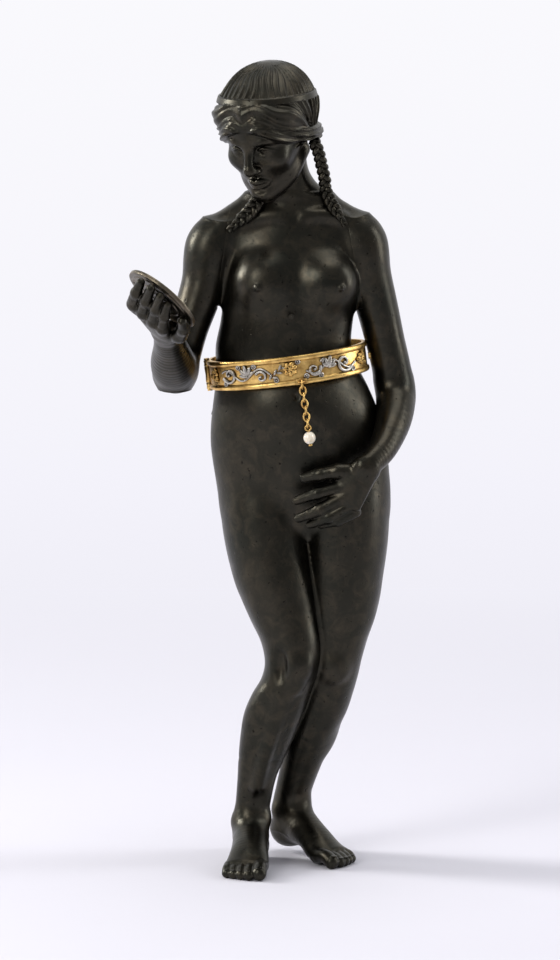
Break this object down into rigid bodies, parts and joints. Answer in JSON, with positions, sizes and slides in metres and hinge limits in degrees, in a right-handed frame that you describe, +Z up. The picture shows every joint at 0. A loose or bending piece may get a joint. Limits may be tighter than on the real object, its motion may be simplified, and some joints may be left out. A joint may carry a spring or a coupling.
{
  "type": "bronze statuette",
  "caption": "Cast bronze figure of a standing woman holding a hand mirror, wearing a hinged gilt girdle with a chain and a pearl drop.",
  "frame": {"origin": "middle of the figure's box, on the floor under the feet", "axes": "+Z up; the figure looks along -Y and its left is +X"},
  "size_m": [0.0837, 0.0724, 0.24],
  "materials": {
    "bronze": "dark brown patina, satin",
    "dowel_bronze": "as turned",
    "clay": "baked founder's clay",
    "iron": "forged, rusty",
    "mirror_bronze": "dark patina, worn rim",
    "mirror_silver": "polished silver",
    "gilt": "fire gilt",
    "silver": "tarnished silver",
    "pearl": "pearl lustre"
  },
  "bodies": {
    "figure": {"body_casting": "bronze", "lower_left_leg": "bronze", "right_arm": "bronze", "left_arm": "bronze", "right_arm_dowel": "dowel_bronze", "left_arm_dowel": "dowel_bronze", "left_leg_dowel": "dowel_bronze", "clay_core": "clay", "core_rod": "iron", "core_pins": "iron", "core_plugs": "bronze", "mirror_back": "mirror_bronze", "mirror_plate": "mirror_silver"},
    "belt_front": {"belt_front_band": "gilt", "belt_hinge_pin": "gilt", "clasp_stud": "gilt", "belt_scroll_right": "silver", "belt_scroll_left": "silver", "belt_flower_right": "gilt", "belt_flower_left": "gilt", "belt_rosette": "silver", "belt_studs": "silver", "chain_staple": "gilt"},
    "belt_back": {"belt_back_band": "gilt"},
    "link_1": {"link_1": "gilt"},
    "link_2": {"link_2": "gilt"},
    "link_3": {"link_3": "gilt"},
    "link_4": {"link_4": "gilt"},
    "link_5": {"link_5": "gilt"},
    "link_6": {"link_6": "gilt"},
    "link_7": {"link_7": "gilt"},
    "pearl_drop": {"pearl": "pearl", "pearl_pin": "gilt"}
  },
  "joints": [
    {"name": "belt_lift", "type": "slide", "parent": "figure", "child": "belt_front", "axis": [-0.1219, 0, 0.9925], "range_m": [0, 0.003]},
    {"name": "belt_hinge", "type": "hinge", "parent": "belt_front", "child": "belt_back", "pos_m": [-0.01962, 0.0147, 0.1473], "axis": [-0.1219, 0, 0.9925], "range_deg": [0, 40]},
    {"name": "link_1_swing", "type": "hinge", "parent": "belt_front", "child": "link_1", "pos_m": [0.00797, -0.00578, 0.14726], "axis": [-0.9903, 0, -0.1392], "range_deg": [0, 20]},
    {"name": "link_2_swing", "type": "hinge", "parent": "link_1", "child": "link_2", "pos_m": [0.00824, -0.00578, 0.14534], "axis": [0, -1, 0], "range_deg": [-20, 20]},
    {"name": "link_3_swing", "type": "hinge", "parent": "link_2", "child": "link_3", "pos_m": [0.00851, -0.00578, 0.14342], "axis": [-0.9903, 0, -0.1392], "range_deg": [0, 20]},
    {"name": "link_4_swing", "type": "hinge", "parent": "link_3", "child": "link_4", "pos_m": [0.00878, -0.00578, 0.1415], "axis": [0, -1, 0], "range_deg": [-20, 20]},
    {"name": "link_5_swing", "type": "hinge", "parent": "link_4", "child": "link_5", "pos_m": [0.00905, -0.00578, 0.13958], "axis": [-0.9903, 0, -0.1392], "range_deg": [0, 20]},
    {"name": "link_6_swing", "type": "hinge", "parent": "link_5", "child": "link_6", "pos_m": [0.00932, -0.00578, 0.13766], "axis": [0, -1, 0], "range_deg": [-20, 20]},
    {"name": "link_7_swing", "type": "hinge", "parent": "link_6", "child": "link_7", "pos_m": [0.00959, -0.00578, 0.13573], "axis": [-0.9903, 0, -0.1392], "range_deg": [0, 20]},
    {"name": "pearl_drop_swing", "type": "hinge", "parent": "link_7", "child": "pearl_drop", "pos_m": [0.00986, -0.00578, 0.13381], "axis": [0, -1, 0], "range_deg": [-20, 20]}
  ]
}
